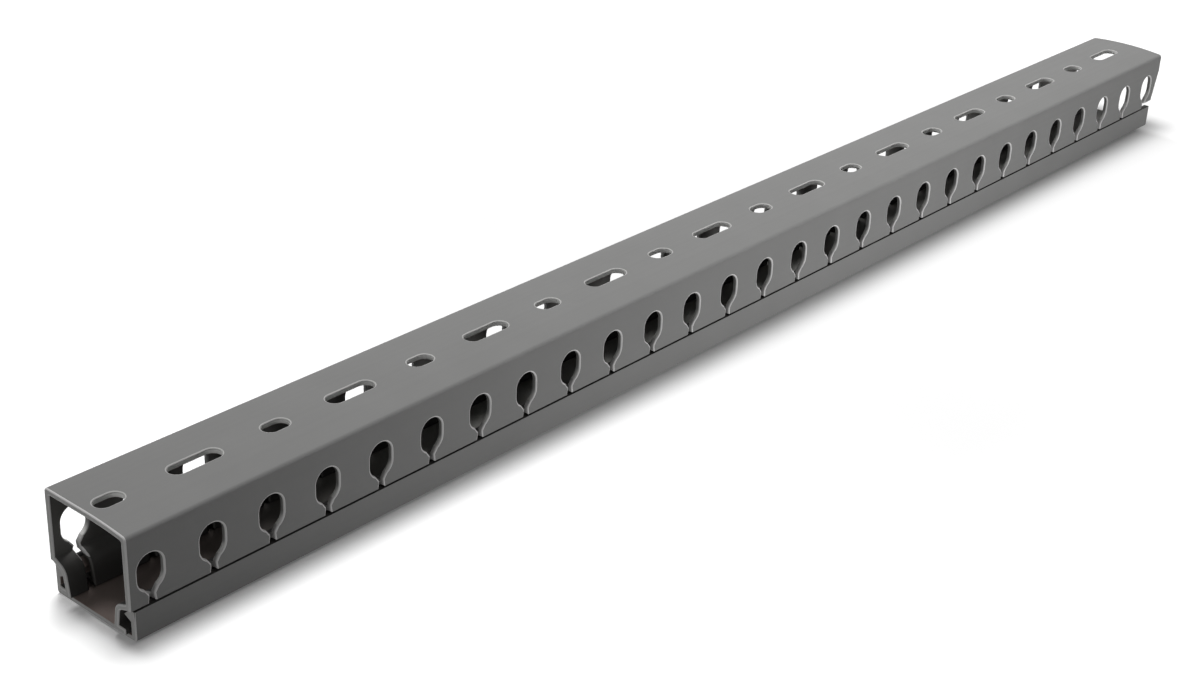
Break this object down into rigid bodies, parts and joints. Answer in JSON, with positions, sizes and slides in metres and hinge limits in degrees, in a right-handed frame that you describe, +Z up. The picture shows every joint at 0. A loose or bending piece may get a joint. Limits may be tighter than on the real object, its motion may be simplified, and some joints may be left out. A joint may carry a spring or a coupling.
{
  "type": "slotted cable trunking",
  "caption": "Grey slotted wiring duct, lying on its snap cover with the slotted mounting face upwards.",
  "frame": {"origin": "centre of the length and width, on the floor that the cover lies on", "axes": "+X along the duct from its near end to its far end, +Y across it, +Z up out of the mounting face"},
  "size_m": [0.502, 0.03, 0.0295],
  "materials": {
    "base_plastic": "satin extruded rigid PVC, grey",
    "cover_plastic": "satin extruded rigid PVC, grey"
  },
  "bodies": {
    "base": {"duct_base": "base_plastic"},
    "cover": {"snap_cover": "cover_plastic"}
  },
  "joints": [
    {"name": "cover_slide", "type": "slide", "parent": "base", "child": "cover", "axis": [1, 0, 0], "range_m": [-0.49, 0.49]}
  ]
}
